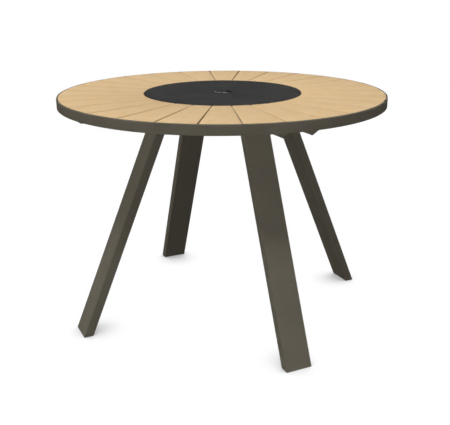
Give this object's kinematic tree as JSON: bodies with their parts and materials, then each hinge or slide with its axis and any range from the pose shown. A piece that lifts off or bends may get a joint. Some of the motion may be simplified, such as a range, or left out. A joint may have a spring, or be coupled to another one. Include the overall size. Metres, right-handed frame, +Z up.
{
  "type": "umbrella table",
  "caption": "Round outdoor dining table with radial wooden slats, metal rim, splayed flat legs, dark turntable disc and a central hole for a parasol pole.",
  "frame": {"origin": "on the floor, below the middle of the table", "axes": "+Z up along the table's axis; the legs stand on the diagonals between X and Y"},
  "size_m": [1.05, 1.05, 0.75],
  "materials": {
    "wood_slats": "fine sanded pale hardwood",
    "frame_coating": "matt grey-brown powder coat",
    "disc_board": "matt charcoal compact board",
    "grommet_metal": "satin charcoal coating",
    "stainless_fasteners": "satin stainless steel",
    "bearing_aluminium": "plain aluminium",
    "slide_plastic": "natural slide plastic",
    "foot_plastic": "matt grey-brown plastic"
  },
  "bodies": {
    "frame": {"plank_01": "wood_slats", "plank_02": "wood_slats", "plank_03": "wood_slats", "plank_04": "wood_slats", "plank_05": "wood_slats", "plank_06": "wood_slats", "plank_07": "wood_slats", "plank_08": "wood_slats", "plank_09": "wood_slats", "plank_10": "wood_slats", "plank_11": "wood_slats", "plank_12": "wood_slats", "plank_13": "wood_slats", "plank_14": "wood_slats", "plank_15": "wood_slats", "plank_16": "wood_slats", "plank_17": "wood_slats", "plank_18": "wood_slats", "plank_19": "wood_slats", "plank_20": "wood_slats", "plank_21": "wood_slats", "plank_22": "wood_slats", "plank_23": "wood_slats", "plank_24": "wood_slats", "plank_25": "wood_slats", "plank_26": "wood_slats", "plank_27": "wood_slats", "plank_28": "wood_slats", "rim_ring": "frame_coating", "rim_ledge": "frame_coating", "plank_support_ring": "frame_coating", "hub_plate": "frame_coating", "hub_base_plate": "frame_coating", "parasol_guide_tube": "frame_coating", "arm_front_right": "frame_coating", "arm_back_right": "frame_coating", "arm_back_left": "frame_coating", "arm_front_left": "frame_coating", "leg_front_right": "frame_coating", "leg_back_right": "frame_coating", "leg_back_left": "frame_coating", "leg_front_left": "frame_coating", "foot_plug_front_right": "foot_plastic", "foot_plug_back_right": "foot_plastic", "foot_plug_back_left": "foot_plastic", "foot_plug_front_left": "foot_plastic", "leg_bolt_front_right_upper": "stainless_fasteners", "leg_bolt_front_right_lower": "stainless_fasteners", "leg_bolt_back_right_upper": "stainless_fasteners", "leg_bolt_back_right_lower": "stainless_fasteners", "leg_bolt_back_left_upper": "stainless_fasteners", "leg_bolt_back_left_lower": "stainless_fasteners", "leg_bolt_front_left_upper": "stainless_fasteners", "leg_bolt_front_left_lower": "stainless_fasteners", "turntable_track": "bearing_aluminium", "turntable_glide_ring": "slide_plastic"},
    "turntable": {"turntable_disc": "disc_board", "turntable_race": "bearing_aluminium", "parasol_grommet": "grommet_metal"}
  },
  "joints": [
    {"name": "turntable_spin", "type": "hinge", "parent": "frame", "child": "turntable", "pos_m": [0, 0, 0.742], "axis": [0, 0, 1], "continuous": true}
  ]
}
